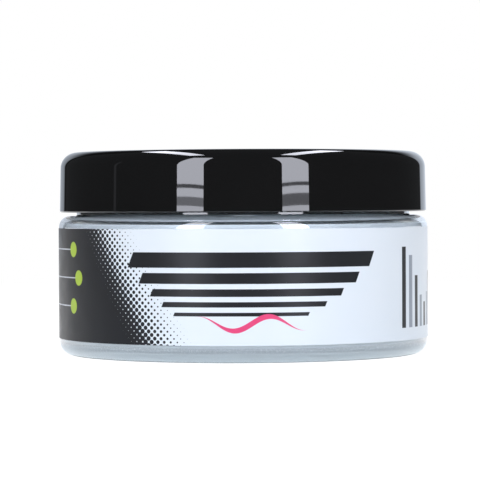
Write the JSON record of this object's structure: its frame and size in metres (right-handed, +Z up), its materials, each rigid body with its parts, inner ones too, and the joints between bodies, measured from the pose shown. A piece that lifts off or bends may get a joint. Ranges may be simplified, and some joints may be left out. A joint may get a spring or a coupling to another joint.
{
  "type": "screw-top powder jar",
  "caption": "Low round clear jar with a smooth black screw lid, a wrap-round label, a sealing liner and dry powder lubricant inside.",
  "frame": {"origin": "middle of the base, on the surface that the jar stands on", "axes": "+Z up along the jar's axis, -Y towards the middle of the label, +X to the right of the label"},
  "size_m": [0.0942, 0.0941, 0.0513],
  "materials": {
    "clear_jar": "gloss",
    "lid_plastic": "gloss",
    "liner_board": "matte",
    "label_film": "satin",
    "powder": "matte"
  },
  "bodies": {
    "jar": {"jar_body": "clear_jar", "label": "label_film", "powder_fill": "powder"},
    "liner": {"lid_liner": "liner_board"},
    "lid": {"lid_shell": "lid_plastic"}
  },
  "joints": [
    {"name": "lid_rise", "type": "slide", "parent": "jar", "child": "liner", "axis": [0, 0, 1], "range_m": [0, 0.0204]},
    {"name": "lid_turn", "type": "hinge", "parent": "liner", "child": "lid", "pos_m": [0, 0, 0.0361], "axis": [0, 0, 1], "range_deg": [0, 1440]}
  ],
  "couplings": [
    {"joint": "lid_rise", "follows": "lid_turn", "m_per_rad": 0.00080851}
  ]
}
